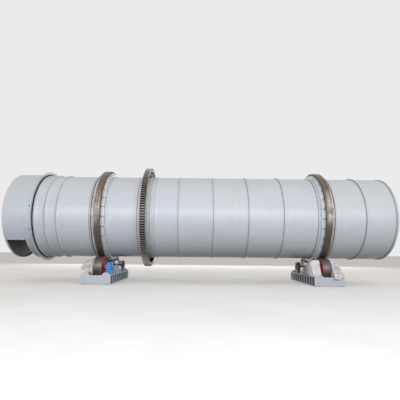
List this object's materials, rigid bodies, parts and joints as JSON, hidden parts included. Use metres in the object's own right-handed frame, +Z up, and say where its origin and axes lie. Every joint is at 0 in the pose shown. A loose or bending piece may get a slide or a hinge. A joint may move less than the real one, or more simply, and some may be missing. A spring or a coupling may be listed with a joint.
{
  "type": "rotary drum dryer",
  "caption": "Horizontal rotary drum dryer: ribbed drum with riding tyres and a girth gear, turning on roller stations, with a discharge hood at one end.",
  "frame": {"origin": "on the floor below the middle of the dryer's length and width", "axes": "+X along the drum towards the open feed end, +Z up, the front of the dryer faces -Y"},
  "size_m": [13.4, 3.6988, 4.2493],
  "materials": {
    "drum_paint": "light blue-grey shop paint, satin",
    "hood_paint": "light blue-grey shop paint, satin",
    "tyre_steel": "machined steel gone brown with light rust",
    "gear_steel": "cut steel, dull brown-grey",
    "roller_red": "deep red paint on the sides, bare steel tread",
    "shaft_steel": "turned steel",
    "bearing_blue": "mid blue enamel",
    "base_paint": "pale grey shop paint, satin",
    "thrust_steel": "pale machined steel",
    "seal_rubber": "black sealing strip",
    "inner_steel": "unpainted plate",
    "wrap_cloth": "white woven plastic sheet"
  },
  "bodies": {
    "stand": {"hood_shell": "hood_paint", "hood_end_plate": "hood_paint", "hood_flange": "hood_paint", "hood_seal": "seal_rubber", "window_lips": "hood_paint", "base_beams_left": "base_paint", "base_front_plate_left": "base_paint", "base_rear_plate_left": "base_paint", "base_cross_plates_left": "base_paint", "bearings_left_front": "bearing_blue", "bearings_left_rear": "bearing_blue", "thrust_housing_left": "base_paint", "base_beams_right": "base_paint", "base_front_plate_right": "base_paint", "base_rear_plate_right": "base_paint", "base_cross_plates_right": "base_paint", "bearings_right_front": "bearing_blue", "bearings_right_rear": "bearing_blue", "thrust_housing_right": "base_paint", "wrap_left_outer": "wrap_cloth", "wrap_right_inner": "wrap_cloth", "wrap_right_outer": "wrap_cloth"},
    "drum": {"drum_shell": "drum_paint", "feed_end_ring": "drum_paint", "feed_dam": "inner_steel", "lifting_flights": "inner_steel", "tyre_left": "tyre_steel", "tyre_pads_left": "drum_paint", "tyre_right": "tyre_steel", "tyre_pads_right": "drum_paint", "girth_gear": "gear_steel", "gear_spring_plates": "gear_steel"},
    "support_roller_left_front": {"roller_left_front": "roller_red", "roller_shaft_left_front": "shaft_steel"},
    "support_roller_left_rear": {"roller_left_rear": "roller_red", "roller_shaft_left_rear": "shaft_steel"},
    "thrust_left": {"thrust_roller_left": "thrust_steel"},
    "support_roller_right_front": {"roller_right_front": "roller_red", "roller_shaft_right_front": "shaft_steel"},
    "support_roller_right_rear": {"roller_right_rear": "roller_red", "roller_shaft_right_rear": "shaft_steel"},
    "thrust_right": {"thrust_roller_right": "thrust_steel"}
  },
  "joints": [
    {"name": "drum_spin", "type": "hinge", "parent": "stand", "child": "drum", "pos_m": [0, 0, 2.39983], "axis": [1, 0, 0], "continuous": true},
    {"name": "roller_spin_left_front", "type": "hinge", "parent": "stand", "child": "support_roller_left_front", "pos_m": [-3.488, -0.93082, 0.573], "axis": [1, 0, 0], "continuous": true},
    {"name": "roller_spin_left_rear", "type": "hinge", "parent": "stand", "child": "support_roller_left_rear", "pos_m": [-3.488, 0.93082, 0.573], "axis": [1, 0, 0], "continuous": true},
    {"name": "thrust_spin_left", "type": "hinge", "parent": "stand", "child": "thrust_left", "pos_m": [-3.1702, 0, 0.68983], "axis": [0, 0, 1], "continuous": true},
    {"name": "roller_spin_right_front", "type": "hinge", "parent": "stand", "child": "support_roller_right_front", "pos_m": [4.283, -0.93082, 0.573], "axis": [1, 0, 0], "continuous": true},
    {"name": "roller_spin_right_rear", "type": "hinge", "parent": "stand", "child": "support_roller_right_rear", "pos_m": [4.283, 0.93082, 0.573], "axis": [1, 0, 0], "continuous": true},
    {"name": "thrust_spin_right", "type": "hinge", "parent": "stand", "child": "thrust_right", "pos_m": [3.9652, 0, 0.68983], "axis": [0, 0, 1], "continuous": true}
  ],
  "couplings": [
    {"joint": "roller_spin_left_front", "follows": "drum_spin", "ratio": -5.0294},
    {"joint": "roller_spin_left_rear", "follows": "drum_spin", "ratio": -5.0294},
    {"joint": "thrust_spin_left", "follows": "drum_spin", "ratio": -8.3875},
    {"joint": "roller_spin_right_front", "follows": "drum_spin", "ratio": -5.0294},
    {"joint": "roller_spin_right_rear", "follows": "drum_spin", "ratio": -5.0294},
    {"joint": "thrust_spin_right", "follows": "drum_spin", "ratio": 8.3875}
  ]
}
